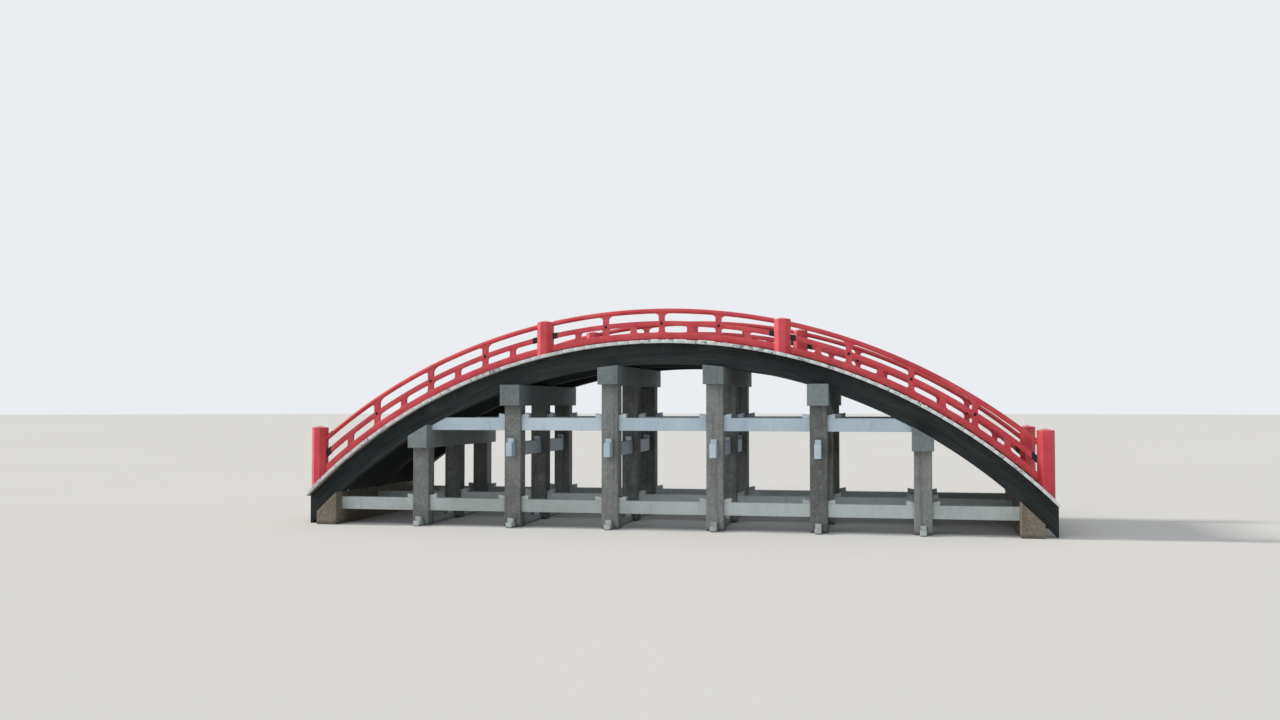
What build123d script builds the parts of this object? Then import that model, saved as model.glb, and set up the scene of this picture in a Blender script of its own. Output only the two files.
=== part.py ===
from build123d import *

import os
from math import asin, cos, degrees, sin, sqrt

# Arched timber bridge with red railings, carried by rows of stone posts that stand in water.
# X runs along the bridge, -Y is the near side and Z is up. The origin is at the water line
# under the middle of the bridge. All lengths are in millimetres.

# Arch: heights of the girders' backs over the water
CROWN_HEIGHT = 4890.0
END_HEIGHT = 747.0

# Bays: the middle one, then outwards to the sill, and what the deck runs on beyond the sill
MIDDLE_BAY = 2800.0
NEXT_BAY = 2680.0
OUTER_BAY = 2605.0
END_BAY = 2630.0
DECK_RUN_ON = 635.0

# Deck and girders
DECK_THICKNESS = 85.0
DECK_HALF_WIDTH = 2904.0
DECK_OVERHANG = 424.0
GIRDER_DEPTH = 550.0
GIRDER_WIDTH = 300.0
GIRDER_SEAT_DEPTH = 20.0
SEAT_SIDE_GAP = 3.0

# Stone bents
POST_SIZE = 450.0
POST_CHAMFER = 15.0
CAP_WIDTH = 545.0
CAP_HEIGHT = 480.0
CAP_OVERHANG = 270.0
CAP_CHAMFER = 12.0
SILL_WIDTH = 570.0

# Stone ties along the bridge, threaded through the posts
TIE_HEIGHT = 340.0
TIE_WIDTH = 250.0
LOWER_TIE_BOTTOM = 400.0
TIE_JOINT = 4.0
TIE_END_GAP = 0.3
MORTISE_SIDE_GAP = 5.0

# Stone ties across the bridge
CROSS_TIE_WIDTH = 165.0
CROSS_TIE_PROJECTION = 330.0
UPPER_CROSS_DROP = 685.0
UPPER_CROSS_HEIGHT = 365.0
LOWER_CROSS_TOP = 140.0

# Wedges that tighten the ties in their mortises
WEDGE_REACH = 190.0
WEDGE_GRIP = 205.0
WEDGE_FACE_HEIGHT = 77.0
WEDGE_END_HEIGHT = 115.0
WEDGE_TOP_GAP = 0.3
WEDGE_SIDE_INSET = 8.0

# Railing: heights are measured square to the arch from the girders' backs
RAILING_INSET = 224.0
CROWN_POST_PAST_BENT = 1770.0
END_POST_INSET = 300.0
MAIN_POST_WIDTH = 420.0
MAIN_POST_TURN = 22.5
CROWN_POST_RISE = -30.0
END_POST_RISE = 200.0
MAIN_POST_PEAK = 45.0
MAIN_POST_FLAT = 52.0
BASE_RAIL_LIFT = 110.0
BASE_RAIL_DEPTH = 175.0
BASE_RAIL_WIDTH = 160.0
MID_RAIL_LIFT = 455.0
MID_RAIL_DEPTH = 130.0
MID_RAIL_WIDTH = 100.0
HANDRAIL_LIFT = 850.0
HANDRAIL_DIAMETER = 130.0
STRUTS_PER_SPAN = 7
STRUT_END_GAP = 700.0
STRUT_WIDTH = 150.0
STRUT_THICKNESS = 95.0
STRUT_FLARE = 38.0
STRUT_LIP = 12.0
BLOCK_WIDTH = 150.0
BLOCK_FLARE = 75.0
BLOCK_LIP = 30.0
BLOCK_THICKNESS = 110.0
SADDLE_DEPTH = 18.0
FOOT_LENGTH = 200.0
FOOT_WIDTH = 130.0
SLEEVE_LENGTH = 130.0
SLEEVE_WALL = 8.0

# Steps laid on the two slopes of the deck
STEPS_PER_SLOPE = 28
STEP_END_INSET = 170.0
STEP_CROWN_SHARE = 0.24
STEP_SIDE_GAP = 200.0
STEP_NOSE = 25.0

# Plan, worked out from the bays and the deck's width
BENT_OFFSETS = (MIDDLE_BAY / 2, MIDDLE_BAY / 2 + NEXT_BAY, MIDDLE_BAY / 2 + NEXT_BAY + OUTER_BAY)
SILL_OFFSET = BENT_OFFSETS[-1] + END_BAY
DECK_HALF_LENGTH = SILL_OFFSET + DECK_RUN_ON
ROW_SPACING = DECK_HALF_WIDTH - DECK_OVERHANG
MAIN_POST_OFFSETS = (BENT_OFFSETS[0] + CROWN_POST_PAST_BENT, DECK_HALF_LENGTH - END_POST_INSET)

# Arch: every curved piece is struck from one centre, through the crown and the two deck ends
RISE = CROWN_HEIGHT - END_HEIGHT
GIRDER_BACK_RADIUS = (DECK_HALF_LENGTH**2 + RISE**2) / (2 * RISE)
ARCH_CENTRE_Z = CROWN_HEIGHT - GIRDER_BACK_RADIUS
DECK_TOP_RADIUS = GIRDER_BACK_RADIUS + DECK_THICKNESS
SOFFIT_RADIUS = GIRDER_BACK_RADIUS - GIRDER_DEPTH
SEAT_RADIUS = SOFFIT_RADIUS + GIRDER_SEAT_DEPTH
HANDRAIL_RADIUS = GIRDER_BACK_RADIUS + HANDRAIL_LIFT
BASE_RAIL_BOTTOM_RADIUS = GIRDER_BACK_RADIUS + BASE_RAIL_LIFT
BASE_RAIL_TOP_RADIUS = BASE_RAIL_BOTTOM_RADIUS + BASE_RAIL_DEPTH
MID_RAIL_BOTTOM_RADIUS = GIRDER_BACK_RADIUS + MID_RAIL_LIFT
MID_RAIL_TOP_RADIUS = MID_RAIL_BOTTOM_RADIUS + MID_RAIL_DEPTH
SADDLE_RADIUS = HANDRAIL_RADIUS - HANDRAIL_DIAMETER / 2 + SADDLE_DEPTH
ARCH_AXIS = Axis((0, 0, ARCH_CENTRE_Z), (0, 1, 0))

# Rows, sides and levels
RAILING_Y = DECK_HALF_WIDTH - RAILING_INSET
STEP_HALF_WIDTH = RAILING_Y - BASE_RAIL_WIDTH / 2 - STEP_SIDE_GAP
BENTS = sorted([-x for x in BENT_OFFSETS] + list(BENT_OFFSETS))
TALL_BENTS = [x for x in BENTS if abs(x) < max(BENT_OFFSETS)]
ROWS = {"near": -ROW_SPACING, "middle": 0.0, "far": ROW_SPACING}
SIDES = {"near": -RAILING_Y, "far": RAILING_Y}
LONG_MORTISE_WIDTH = TIE_WIDTH + 2 * MORTISE_SIDE_GAP
CROSS_MORTISE_WIDTH = CROSS_TIE_WIDTH + 2 * MORTISE_SIDE_GAP
CAP_HALF_LENGTH = ROW_SPACING + POST_SIZE / 2 + CAP_OVERHANG
CROSS_TIE_HALF_LENGTH = ROW_SPACING + POST_SIZE / 2 + CROSS_TIE_PROJECTION

os.makedirs("parts", exist_ok=True)


def height_at(radius, x):
    """Height of the arch of this radius above the water, at a distance x from the middle."""
    return ARCH_CENTRE_Z + sqrt(radius**2 - x**2)


# Long ties at mid height lie level with the seats of the outer caps
UPPER_TIE_BOTTOM = height_at(SEAT_RADIUS, BENT_OFFSETS[-1])
UPPER_CROSS_BOTTOM = UPPER_TIE_BOTTOM - UPPER_CROSS_DROP


def save(part, label):
    """Label a finished piece and write it to its file."""
    part.label = label
    export_step(part, f"parts/{label}.step")


def arch_outline(x_start, x_end, low_radius, high_radius):
    """Draw the outline of a curved bar between two arcs of the arch, with plumb ends."""
    middle = (x_start + x_end) / 2
    low_start = (x_start, height_at(low_radius, x_start))
    low_end = (x_end, height_at(low_radius, x_end))
    high_start = (x_start, height_at(high_radius, x_start))
    high_end = (x_end, height_at(high_radius, x_end))
    with BuildLine() as outline:
        ThreePointArc(low_start, (middle, height_at(low_radius, middle)), low_end)
        Line(low_end, high_end)
        ThreePointArc(high_end, (middle, height_at(high_radius, middle)), high_start)
        Line(high_start, low_start)
    make_face(outline.edges())


def cap_bottom(x):
    """Height of the flat underside of the cap beam at x."""
    return height_at(SEAT_RADIUS, x) - CAP_HEIGHT


def seat_outline(x, width, bottom, side_gap=0.0):
    """Draw a stone's outline from a level underside to its sloping seat for the girders."""
    left, right = x - width / 2, x + width / 2
    slope = (height_at(SEAT_RADIUS, right) - height_at(SEAT_RADIUS, left)) / width
    low, high = left - side_gap, right + side_gap
    top_left = height_at(SEAT_RADIUS, left) - slope * side_gap
    top_right = height_at(SEAT_RADIUS, right) + slope * side_gap
    with BuildLine() as outline:
        Polyline((low, bottom), (high, bottom), (high, top_right), (low, top_left), close=True)
    make_face(outline.edges())


# Stone posts, three to a bent, with a mortise for every tie that passes through them
for number, bent_x in enumerate(BENTS, start=1):
    post_top = cap_bottom(bent_x)
    with BuildPart() as pier_posts:
        with Locations([(bent_x, y, 0) for y in ROWS.values()]):
            Box(POST_SIZE, POST_SIZE, post_top, align=(Align.CENTER, Align.CENTER, Align.MIN))
        chamfer(pier_posts.edges().filter_by(Axis.Z), POST_CHAMFER)
        mortises = [(POST_SIZE, LONG_MORTISE_WIDTH, LOWER_TIE_BOTTOM, TIE_HEIGHT)]
        mortises.append((CROSS_MORTISE_WIDTH, POST_SIZE, 0.0, LOWER_CROSS_TOP))
        if bent_x in TALL_BENTS:
            mortises.append((POST_SIZE, LONG_MORTISE_WIDTH, UPPER_TIE_BOTTOM, TIE_HEIGHT))
            mortises.append((CROSS_MORTISE_WIDTH, POST_SIZE, UPPER_CROSS_BOTTOM, UPPER_CROSS_HEIGHT))
        for length, width, bottom, tie_height in mortises:
            opening = (length, width, tie_height + WEDGE_FACE_HEIGHT + WEDGE_TOP_GAP)
            with Locations([(bent_x, y, bottom) for y in ROWS.values()]):
                Box(*opening, align=(Align.CENTER, Align.CENTER, Align.MIN), mode=Mode.SUBTRACT)
    save(pier_posts.part, f"pier_posts_{number}")

    # Cap beam across the posts, its top dressed to the slope of the girders
    with BuildPart() as cap_beam:
        with BuildSketch(Plane.XZ):
            seat_outline(bent_x, CAP_WIDTH, cap_bottom(bent_x))
        extrude(amount=CAP_HALF_LENGTH, both=True)
        chamfer(cap_beam.edges(), CAP_CHAMFER)
    save(cap_beam.part, f"cap_beam_{number}")

# Stone sills that take the feet of the girders at the two banks
for end, sill_x in (("left", -SILL_OFFSET), ("right", SILL_OFFSET)):
    with BuildPart() as abutment_sill:
        with BuildSketch(Plane.XZ):
            seat_outline(sill_x, SILL_WIDTH, 0.0)
        extrude(amount=CAP_HALF_LENGTH, both=True)
    save(abutment_sill.part, f"abutment_sill_{end}")


def tie_stones(joints, bottom, y):
    """Build the stones of one tie, each from the middle of a mortise to the next one."""
    with BuildPart() as tie:
        with BuildSketch(Plane.XY.offset(bottom)):
            for start, end in zip(joints[:-1], joints[1:]):
                with Locations(((start + end) / 2, y)):
                    Rectangle(end - start - TIE_JOINT, TIE_WIDTH)
        extrude(amount=TIE_HEIGHT)
    return tie


# Ties along the bridge: the lower ones reach the sills, the upper ones end under the girders
SILL_FACE = SILL_OFFSET - SILL_WIDTH / 2 + TIE_JOINT / 2 - TIE_END_GAP
CAP_FACE = max(BENT_OFFSETS) - CAP_WIDTH / 2 + TIE_JOINT / 2 - TIE_END_GAP
for row, row_y in ROWS.items():
    lower_ties = tie_stones([-SILL_FACE, *BENTS, SILL_FACE], LOWER_TIE_BOTTOM, row_y)
    save(lower_ties.part, f"lower_ties_{row}")

    upper_stones = tie_stones([-CAP_FACE, *TALL_BENTS, CAP_FACE], UPPER_TIE_BOTTOM, row_y)
    with BuildPart() as upper_ties:
        add(upper_stones.part)
        with Locations(Location((0, row_y, ARCH_CENTRE_Z), (90, 0, 0))):
            Cylinder(SOFFIT_RADIUS - TIE_END_GAP, 2 * TIE_WIDTH, mode=Mode.INTERSECT)
    save(upper_ties.part, f"upper_ties_{row}")

# Ties across the bridge, under the caps and at the water line
for name, bottom, height, bents in (
    ("upper", UPPER_CROSS_BOTTOM, UPPER_CROSS_HEIGHT, TALL_BENTS),
    ("lower", 0.0, LOWER_CROSS_TOP, BENTS),
):
    with BuildPart() as cross_ties:
        with BuildSketch(Plane.XY.offset(bottom)):
            with Locations([(x, 0) for x in bents]):
                Rectangle(CROSS_TIE_WIDTH, 2 * CROSS_TIE_HALF_LENGTH)
        extrude(amount=height)
    save(cross_ties.part, f"{name}_cross_ties")


def wedge_outline(face, direction, seat):
    """Draw a wedge's side: thick at its outer end, thin inside the mortise."""
    slope = (WEDGE_END_HEIGHT - WEDGE_FACE_HEIGHT) / WEDGE_REACH
    tip = face - direction * WEDGE_GRIP
    end = face + direction * WEDGE_REACH
    tip_height = WEDGE_FACE_HEIGHT - slope * WEDGE_GRIP
    with BuildLine() as outline:
        Polyline(
            (tip, seat),
            (end, seat),
            (end, seat + WEDGE_END_HEIGHT),
            (tip, seat + tip_height),
            close=True,
        )
    make_face(outline.edges())


# Wedges, one driven on top of each tie from either side of every post
with BuildPart() as tie_wedges:
    for row_y in ROWS.values():
        for tie_top, bents in (
            (LOWER_TIE_BOTTOM + TIE_HEIGHT, BENTS),
            (UPPER_TIE_BOTTOM + TIE_HEIGHT, TALL_BENTS),
        ):
            with BuildSketch(Plane.XZ.offset(-row_y)):
                for bent_x in bents:
                    for direction in (-1, 1):
                        wedge_outline(bent_x + direction * POST_SIZE / 2, direction, tie_top)
            extrude(amount=TIE_WIDTH / 2 - WEDGE_SIDE_INSET, both=True)
    for tie_top, bents in (
        (LOWER_CROSS_TOP, BENTS),
        (UPPER_CROSS_BOTTOM + UPPER_CROSS_HEIGHT, TALL_BENTS),
    ):
        for bent_x in bents:
            with BuildSketch(Plane.YZ.offset(bent_x)):
                for row_y in ROWS.values():
                    for direction in (-1, 1):
                        wedge_outline(row_y + direction * POST_SIZE / 2, direction, tie_top)
            extrude(amount=CROSS_TIE_WIDTH / 2 - WEDGE_SIDE_INSET, both=True)
save(tie_wedges.part, "tie_wedges")

# Girders bent to the arch, notched over the caps and the sills
for row, row_y in ROWS.items():
    with BuildPart() as girder:
        with BuildSketch(Plane.XZ.offset(-row_y)):
            arch_outline(-DECK_HALF_LENGTH, DECK_HALF_LENGTH, SOFFIT_RADIUS, GIRDER_BACK_RADIUS)
        extrude(amount=GIRDER_WIDTH / 2, both=True)
        with BuildSketch(Plane.XZ.offset(-row_y)):
            for bent_x in BENTS:
                seat_outline(bent_x, CAP_WIDTH, cap_bottom(bent_x), SEAT_SIDE_GAP)
            for sill_x in (-SILL_OFFSET, SILL_OFFSET):
                seat_outline(sill_x, SILL_WIDTH, 0.0, SEAT_SIDE_GAP)
        extrude(amount=GIRDER_WIDTH, both=True, mode=Mode.SUBTRACT)
        split(bisect_by=Plane.XY, keep=Keep.TOP)
    save(girder.part, f"girder_{row}")

# Deck planking, laid across the girders from edge to edge
with BuildPart() as deck_planking:
    with BuildSketch(Plane.XZ):
        arch_outline(-DECK_HALF_LENGTH, DECK_HALF_LENGTH, GIRDER_BACK_RADIUS, DECK_TOP_RADIUS)
    extrude(amount=DECK_HALF_WIDTH, both=True)
save(deck_planking.part, "deck_planking")


def step_edges():
    """Distances from the middle of the step edges, spaced evenly along the curved deck."""
    low_angle = asin((DECK_HALF_LENGTH - STEP_END_INSET) / DECK_TOP_RADIUS)
    high_angle = asin(STEP_CROWN_SHARE * DECK_HALF_LENGTH / DECK_TOP_RADIUS)
    pitch_angle = (low_angle - high_angle) / STEPS_PER_SLOPE
    return [DECK_TOP_RADIUS * sin(low_angle - i * pitch_angle) for i in range(STEPS_PER_SLOPE + 1)]


# Steps: level treads with plumb fronts, wedge-shaped below to follow the deck
for end, direction in (("left", -1), ("right", 1)):
    edges = step_edges()
    with BuildPart() as steps:
        with BuildSketch(Plane.XZ):
            for outer, inner in zip(edges[:-1], edges[1:]):
                inner_x = inner + STEP_NOSE
                tread_z = height_at(DECK_TOP_RADIUS, inner_x)
                middle = (outer + inner_x) / 2
                with BuildLine():
                    ThreePointArc(
                        (direction * outer, height_at(DECK_TOP_RADIUS, outer)),
                        (direction * middle, height_at(DECK_TOP_RADIUS, middle)),
                        (direction * inner_x, tread_z),
                    )
                    Polyline(
                        (direction * inner_x, tread_z),
                        (direction * outer, tread_z),
                        (direction * outer, height_at(DECK_TOP_RADIUS, outer)),
                    )
                make_face()
        extrude(amount=STEP_HALF_WIDTH, both=True)
    save(steps.part, f"steps_{end}")


def span_ends():
    """Pairs of post faces between which one stretch of railing runs."""
    inner, outer = MAIN_POST_OFFSETS
    half = MAIN_POST_WIDTH / 2
    return [(-outer + half, -inner - half), (-inner + half, inner - half), (inner + half, outer - half)]


def strut_places():
    """Place of each strut and whether it goes up to the handrail, alternating from each main post."""
    places = []
    for start, end in span_ends():
        pitch = (end - start - 2 * STRUT_END_GAP) / (STRUTS_PER_SPAN - 1)
        for i in range(STRUTS_PER_SPAN):
            places.append((start + STRUT_END_GAP + i * pitch, i % 2 == 1))
    return places


def flared_outline(x, low_radius, high_radius, width, flare, lip, flare_foot=True):
    """Draw a plumb strut between two arcs, widened by hollow curves where it meets the rails."""
    half = width / 2
    bow = flare * (1 - sqrt(0.5))

    def low(u, v):
        return (x + u, height_at(low_radius, x + u) + v)

    def high(u, v):
        return (x + u, height_at(high_radius, x + u) - v)

    foot = half + flare if flare_foot else half
    head = half + flare
    with BuildLine() as outline:
        ThreePointArc(low(-foot, 0), low(0, 0), low(foot, 0))
        if flare_foot:
            Line(low(foot, 0), low(foot, lip))
            ThreePointArc(low(foot, lip), low(half + bow, lip + bow), low(half, lip + flare))
            Line(low(half, lip + flare), high(half, lip + flare))
        else:
            Line(low(half, 0), high(half, lip + flare))
        ThreePointArc(high(half, lip + flare), high(half + bow, lip + bow), high(head, lip))
        Line(high(head, lip), high(head, 0))
        ThreePointArc(high(head, 0), high(0, 0), high(-head, 0))
        Line(high(-head, 0), high(-head, lip))
        ThreePointArc(high(-head, lip), high(-half - bow, lip + bow), high(-half, lip + flare))
        if flare_foot:
            Line(high(-half, lip + flare), low(-half, lip + flare))
            ThreePointArc(low(-half, lip + flare), low(-half - bow, lip + bow), low(-foot, lip))
            Line(low(-foot, lip), low(-foot, 0))
        else:
            Line(high(-half, lip + flare), low(-half, 0))
    make_face(outline.edges())


# The two railings
for side, rail_y in SIDES.items():
    # Eight-sided main posts, plumb, with low pointed tops, their feet cut to the deck's curve
    with BuildPart() as main_posts:
        for offset, rise in zip(MAIN_POST_OFFSETS, (CROWN_POST_RISE, END_POST_RISE)):
            shoulder = height_at(HANDRAIL_RADIUS + HANDRAIL_DIAMETER / 2, offset - MAIN_POST_WIDTH / 2) + rise
            foot = height_at(DECK_TOP_RADIUS, offset + MAIN_POST_WIDTH)
            for post_x in (-offset, offset):
                for level, width in (
                    (foot, MAIN_POST_WIDTH),
                    (shoulder, MAIN_POST_WIDTH),
                    (shoulder + MAIN_POST_PEAK, MAIN_POST_FLAT),
                ):
                    with BuildSketch(Plane.XY.offset(level)):
                        with Locations((post_x, rail_y)):
                            RegularPolygon(width / 2, 8, major_radius=False, rotation=MAIN_POST_TURN)
                loft(ruled=True)
        with Locations(Location((0, rail_y, ARCH_CENTRE_Z), (90, 0, 0))):
            Cylinder(DECK_TOP_RADIUS, 2 * MAIN_POST_WIDTH, mode=Mode.SUBTRACT)
    save(main_posts.part, f"main_posts_{side}")

    # Round handrail, in three lengths between the main posts
    with BuildPart() as handrail:
        for start, end in span_ends():
            first = asin(start / HANDRAIL_RADIUS)
            last = asin(end / HANDRAIL_RADIUS)
            margin = HANDRAIL_DIAMETER / HANDRAIL_RADIUS
            angle = first - margin
            plane = Plane(
                origin=(HANDRAIL_RADIUS * sin(angle), rail_y, ARCH_CENTRE_Z + HANDRAIL_RADIUS * cos(angle)),
                x_dir=(0, 1, 0),
                z_dir=(cos(angle), 0, -sin(angle)),
            )
            with BuildPart(mode=Mode.PRIVATE) as length:
                with BuildSketch(plane):
                    Circle(HANDRAIL_DIAMETER / 2)
                revolve(axis=ARCH_AXIS, revolution_arc=degrees(last - first + 2 * margin))
                split(bisect_by=Plane.YZ.offset(start), keep=Keep.TOP)
                split(bisect_by=Plane.YZ.offset(end), keep=Keep.BOTTOM)
            add(length.part)
    save(handrail.part, f"handrail_{side}")

    # Flat rails: the deep base rail on its feet, and the mid rail
    for name, low_radius, high_radius, width in (
        ("base_rail", BASE_RAIL_BOTTOM_RADIUS, BASE_RAIL_TOP_RADIUS, BASE_RAIL_WIDTH),
        ("mid_rail", MID_RAIL_BOTTOM_RADIUS, MID_RAIL_TOP_RADIUS, MID_RAIL_WIDTH),
    ):
        with BuildPart() as flat_rail:
            with BuildSketch(Plane.XZ.offset(-rail_y)):
                for start, end in span_ends():
                    arch_outline(start, end, low_radius, high_radius)
            extrude(amount=width / 2, both=True)
        save(flat_rail.part, f"{name}_{side}")

    # Feet that hold the base rail clear of the deck, one under each strut
    with BuildPart() as rail_feet:
        with BuildSketch(Plane.XZ.offset(-rail_y)):
            for x, _ in strut_places():
                start, end = x - FOOT_LENGTH / 2, x + FOOT_LENGTH / 2
                arch_outline(start, end, DECK_TOP_RADIUS, BASE_RAIL_BOTTOM_RADIUS)
        extrude(amount=FOOT_WIDTH / 2, both=True)
    save(rail_feet.part, f"rail_feet_{side}")

    # Struts between the base rail and the mid rail
    with BuildPart() as window_struts:
        with BuildSketch(Plane.XZ.offset(-rail_y)):
            for x, _ in strut_places():
                flared_outline(
                    x, BASE_RAIL_TOP_RADIUS, MID_RAIL_BOTTOM_RADIUS, STRUT_WIDTH, STRUT_FLARE, STRUT_LIP
                )
        extrude(amount=STRUT_THICKNESS / 2, both=True)
    save(window_struts.part, f"window_struts_{side}")

    # Bearing blocks that stand on the mid rail and cradle the handrail
    with BuildPart() as bearing_blocks:
        with BuildSketch(Plane.XZ.offset(-rail_y)):
            for x, is_full in strut_places():
                if is_full:
                    flared_outline(
                        x,
                        MID_RAIL_TOP_RADIUS,
                        SADDLE_RADIUS,
                        BLOCK_WIDTH,
                        BLOCK_FLARE,
                        BLOCK_LIP,
                        flare_foot=False,
                    )
        extrude(amount=BLOCK_THICKNESS / 2, both=True)
        add(handrail.part, mode=Mode.SUBTRACT)
    save(bearing_blocks.part, f"bearing_blocks_{side}")

    # Metal sleeves round the ends of the mid rail, against the main posts
    with BuildPart() as rail_sleeves:
        for grow, cut in ((SLEEVE_WALL, Mode.ADD), (0.0, Mode.SUBTRACT)):
            low_radius, high_radius = MID_RAIL_BOTTOM_RADIUS - grow, MID_RAIL_TOP_RADIUS + grow
            with BuildSketch(Plane.XZ.offset(-rail_y)):
                for start, end in span_ends():
                    arch_outline(start, start + SLEEVE_LENGTH, low_radius, high_radius)
                    arch_outline(end - SLEEVE_LENGTH, end, low_radius, high_radius)
            extrude(amount=MID_RAIL_WIDTH / 2 + grow, both=True, mode=cut)
    save(rail_sleeves.part, f"rail_sleeves_{side}")
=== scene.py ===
"""Looks of an arched timber bridge with red railings on rows of stone posts.

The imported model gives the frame. This script gives every piece its finish, lays the boards of the
deck and the treads of the steps, rounds the arrises of stone and timber, and sets camera and light.
All lengths are in metres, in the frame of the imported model: X along the bridge, -Y the near side.
"""

import logging
from collections.abc import Callable, Iterator
from contextlib import contextmanager
from dataclasses import dataclass
from enum import Enum
from math import asin, radians

import bmesh
import bpy
import numpy as np
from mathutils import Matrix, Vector


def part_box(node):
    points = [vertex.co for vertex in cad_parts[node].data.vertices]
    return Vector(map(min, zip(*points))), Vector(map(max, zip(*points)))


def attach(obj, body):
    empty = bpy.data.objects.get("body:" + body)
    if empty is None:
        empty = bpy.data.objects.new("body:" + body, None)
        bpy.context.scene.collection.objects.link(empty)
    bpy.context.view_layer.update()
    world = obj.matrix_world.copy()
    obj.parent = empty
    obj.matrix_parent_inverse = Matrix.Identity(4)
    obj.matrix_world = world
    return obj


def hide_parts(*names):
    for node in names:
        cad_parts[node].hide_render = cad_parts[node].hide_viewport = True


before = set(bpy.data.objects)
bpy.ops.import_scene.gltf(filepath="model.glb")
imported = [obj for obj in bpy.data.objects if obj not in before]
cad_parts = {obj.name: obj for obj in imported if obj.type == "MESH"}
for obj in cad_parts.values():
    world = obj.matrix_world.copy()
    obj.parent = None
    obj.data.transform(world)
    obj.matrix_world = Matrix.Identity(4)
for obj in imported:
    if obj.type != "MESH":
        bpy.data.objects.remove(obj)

Array = np.ndarray
Chance = np.random.Generator
Colour = tuple[float, float, float, float]
Triple = tuple[float, float, float]
Span = tuple[float, float]
Faces = list[list[int]]
Piece = bpy.types.Object
Socket = bpy.types.NodeSocket
Material = bpy.types.Material

LOG = logging.getLogger("bridge")
ROOT = "root"
ROWS = ("near", "middle", "far")
PHOTO_WIDTH = 1280

# In a copy of a node, points this near are merged, faces that turn by less than the flat angle are
# joined, and edges that turn by more than the arris angle are rounded. Angles are in degrees.
MERGE_DISTANCE = 2e-5
FLAT_ANGLE = 0.4
ARRIS_ANGLE = 32.0
ARRIS_SPANS = 2
CREASE_ANGLE = 50.0

# Boards start at different places in the pattern of the fibres, up to this far apart.
FIBRE_SHIFT = 50.0

# The mixing node has several sockets of one name, so these go by number: its share and its two
# colours, and the mixed colour.
COLOUR_MIX_INPUTS = (0, 6, 7)
COLOUR_MIX_OUTPUT = 2


class Pattern(Enum):
    """Names of the attributes that a piece carries for the patterns of its finish."""

    GRAIN = "grain"
    TONE = "own_tone"


class Side(Enum):
    """The two railings, by the side of the bridge they stand on."""

    NEAR = "near"
    FAR = "far"


class Slope(Enum):
    """The two slopes of the deck, by the end they lead down to."""

    LEFT = "left"
    RIGHT = "right"

    @property
    def direction(self) -> int:
        """Minus one where the slope leads down towards -X, one where it leads towards +X."""
        return -1 if self is Slope.LEFT else 1


@dataclass(frozen=True)
class Arch:
    """The circle that every curved piece follows: z = centre + sqrt(radius^2 - x^2).

    The girders' backs have the back radius, and the upper side of the deck has the top radius.
    """

    centre: float
    back: float
    top: float
    half_length: float

    @classmethod
    def from_frame(cls) -> "Arch":
        """Work the circle out from the boxes of the deck and of a girder.

        Returns:
            The arch through the girders' backs: half chord and rise give its radius.
        """
        deck_low, deck_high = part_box("deck_planking")
        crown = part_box("girder_near")[1].z
        rise = crown - deck_low.z
        back = (deck_high.x**2 + rise**2) / (2 * rise)
        return cls(crown - back, back, back + deck_high.z - crown, deck_high.x)

    def height(self, radius: Array | float, x: Array | float) -> Array:
        """Height over the water of the arc of this radius at x."""
        return self.centre + np.sqrt(np.square(radius) - np.square(x))

    def reach(self, radius: Array | float, z: Array | float) -> Array:
        """Distance from the middle at which the arc of this radius comes down to the height z."""
        return np.sqrt(np.square(radius) - np.square(z - self.centre))

    def unrolled(self, points: Array) -> Array:
        """Coordinates that follow the arch: distance along it, across the bridge, and out from its centre.

        Args:
            points: array (..., 3) of places.

        Returns:
            Array (..., 3): back radius times the angle from the crown, y, and distance from the centre.
        """
        x, y, z = points[..., 0], points[..., 1], points[..., 2] - self.centre
        return np.stack([self.back * np.arctan2(x, z), y, np.hypot(x, z)], axis=-1)


def grid_points(x: Array | float, y: Array | float, z: Array | float) -> Array:
    """Points on one grid, array (..., 3), from coordinates whose shapes together span it."""
    return np.stack(np.broadcast_arrays(x, y, z), axis=-1)


def rounded_section(width: float, height: float, radius: float, steps: int = 3) -> Array:
    """Outline of a bar with rounded corners, centred on the origin.

    Args:
        width: full size along the first axis.
        height: full size along the second axis.
        radius: of the four corner arcs.
        steps: spans in each corner arc.

    Returns:
        Array (4 * (steps + 1), 2), anticlockwise: corner centre + radius * (cos, sin) of its angles.
    """
    turn = np.linspace(0, np.pi / 2, steps + 1)
    angles = (np.arange(4)[:, None] * np.pi / 2 + turn[None, :]).ravel()
    corner_x = np.repeat([1, -1, -1, 1], steps + 1) * (width / 2 - radius)
    corner_z = np.repeat([1, 1, -1, -1], steps + 1) * (height / 2 - radius)
    return np.stack([corner_x + radius * np.cos(angles), corner_z + radius * np.sin(angles)], axis=1)


def eased_ends(length: float, easing: float, spans: int, knee: float = 0.3) -> tuple[Array, Array]:
    """Stations along a bar whose section draws in at both ends, so that its end arrises are eased.

    Args:
        length: of the bar, centred on zero.
        easing: how far in from the end the section is full.
        spans: between the two full sections.
        knee: share of the easing at which the arris has one more station, and its draw there.

    Returns:
        Places along the bar, and how much of the easing is drawn in there: one at the ends, then none.
    """
    half = length / 2
    inner = np.linspace(-half + easing, half - easing, spans + 1)
    places = np.concatenate([[-half, -half + knee * easing], inner, [half - knee * easing, half]])
    drawn = np.concatenate([[1.0, knee], np.zeros(spans + 1), [knee, 1.0]])
    return places, drawn


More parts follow.
